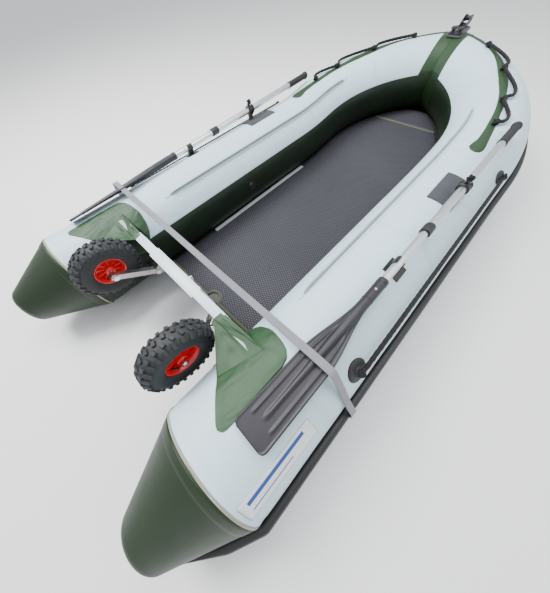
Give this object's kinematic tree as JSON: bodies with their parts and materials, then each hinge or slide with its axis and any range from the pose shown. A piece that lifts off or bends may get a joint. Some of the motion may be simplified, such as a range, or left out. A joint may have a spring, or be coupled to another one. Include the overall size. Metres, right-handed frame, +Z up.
{
  "type": "inflatable dinghy",
  "caption": "Inflatable dinghy with two air tubes, transom, matted sectional floor, stowed oars, ropes and flip-up launching wheels.",
  "frame": {"origin": "middle of the boat's outline, on the ground the air tubes stand on", "axes": "+X forward to the bow, +Y to port, +Z up"},
  "size_m": [3.2416, 1.5912, 0.6393],
  "materials": {
    "light_pvc": "semi-matt coated fabric",
    "green_pvc": "semi-matt coated fabric",
    "black_rubber": "matt",
    "grey_plywood": "painted",
    "white_metal": "white coated",
    "white_plastic": "smooth",
    "bare_aluminium": "anodised",
    "black_plastic": "moulded",
    "stainless": "brushed",
    "plywood": "varnished",
    "eva_foam": "embossed foam",
    "keel_fabric": "coated fabric",
    "black_rope": "braided",
    "grey_rubber": "matt",
    "dark_plastic": "moulded",
    "tyre_rubber": "knobbly",
    "red_rim": "gloss paint",
    "grey_webbing": "woven"
  },
  "bodies": {
    "hull": {"air_valves": "black_plastic", "bottom_skin": "green_pvc", "bow_cleat": "black_plastic", "bow_mat": "eva_foam", "bow_patch": "grey_rubber", "drain_valve": "black_plastic", "floor_panels": "plywood", "floor_stringers": "bare_aluminium", "gussets": "green_pvc", "keel_tube": "keel_fabric", "line_holders": "black_rubber", "main_mat": "eva_foam", "motor_pads": "white_plastic", "oar_clips": "black_plastic", "oarlock_pads": "grey_rubber", "pivot_pins": "stainless", "port_air_tube": "light_pvc", "port_bow_rope": "black_rope", "port_lifeline": "black_rope", "port_rub_strake": "black_rubber", "port_stern_cone": "green_pvc", "roller_bracket": "stainless", "roller_pin": "stainless", "rope_eyelets": "black_plastic", "seat_rails": "light_pvc", "spray_flaps": "green_pvc", "starboard_air_tube": "light_pvc", "starboard_bow_rope": "black_rope", "starboard_lifeline": "black_rope", "starboard_rub_strake": "black_rubber", "starboard_stern_cone": "green_pvc", "stem_band": "green_pvc", "stern_handles": "black_plastic", "tie_down_strap": "grey_webbing", "tow_ring": "stainless", "transom_angles": "bare_aluminium", "transom_board": "grey_plywood", "transom_cap": "white_metal", "wheel_brackets": "stainless"},
    "port_oar_fore": {"port_oarlock_clamp": "black_plastic", "port_outer_shaft": "bare_aluminium", "port_oar_grip": "black_rubber"},
    "port_oar_aft": {"port_inner_shaft": "bare_aluminium", "port_oar_blade": "dark_plastic"},
    "port_leg": {"port_wheel_leg": "stainless", "port_axle": "stainless"},
    "port_wheel": {"port_rim": "red_rim", "port_tyre": "tyre_rubber"},
    "roller": {"bow_roller": "black_plastic"},
    "starboard_oar_fore": {"starboard_oarlock_clamp": "black_plastic", "starboard_outer_shaft": "bare_aluminium", "starboard_oar_grip": "black_rubber"},
    "starboard_oar_aft": {"starboard_inner_shaft": "bare_aluminium", "starboard_oar_blade": "dark_plastic"},
    "starboard_leg": {"starboard_wheel_leg": "stainless", "starboard_axle": "stainless"},
    "starboard_wheel": {"starboard_rim": "red_rim", "starboard_tyre": "tyre_rubber"}
  },
  "joints": [
    {"name": "port_oar_swivel", "type": "hinge", "parent": "hull", "child": "port_oar_fore", "pos_m": [-0.00879, 0.62918, 0.46136], "axis": [0, 0, -1], "range_deg": [0, 100], "deforming": ["tie_down_strap"]},
    {"name": "port_oar_extension", "type": "slide", "parent": "port_oar_fore", "child": "port_oar_aft", "axis": [-0.9995, -0.0193, -0.0261], "range_m": [0, 0.15]},
    {"name": "port_leg_fold", "type": "hinge", "parent": "hull", "child": "port_leg", "pos_m": [-1.07435, 0.203, 0.262], "axis": [0, -1, 0], "range_deg": [0, 98]},
    {"name": "port_wheel_spin", "type": "hinge", "parent": "port_leg", "child": "port_wheel", "pos_m": [-1.21679, 0.268, 0.372], "axis": [0, 1, 0], "continuous": true},
    {"name": "starboard_oar_swivel", "type": "hinge", "parent": "hull", "child": "starboard_oar_fore", "pos_m": [-0.00879, -0.62918, 0.46136], "axis": [0, 0, 1], "range_deg": [0, 100], "deforming": ["tie_down_strap"]},
    {"name": "starboard_oar_extension", "type": "slide", "parent": "starboard_oar_fore", "child": "starboard_oar_aft", "axis": [-0.9995, 0.0193, -0.0261], "range_m": [0, 0.15]},
    {"name": "starboard_leg_fold", "type": "hinge", "parent": "hull", "child": "starboard_leg", "pos_m": [-1.07435, -0.203, 0.262], "axis": [0, -1, 0], "range_deg": [0, 98]},
    {"name": "starboard_wheel_spin", "type": "hinge", "parent": "starboard_leg", "child": "starboard_wheel", "pos_m": [-1.21679, -0.268, 0.372], "axis": [0, 1, 0], "continuous": true},
    {"name": "bow_roller_spin", "type": "hinge", "parent": "hull", "child": "roller", "pos_m": [1.45162, 0, 0.62058], "axis": [0, 1, 0], "continuous": true}
  ]
}
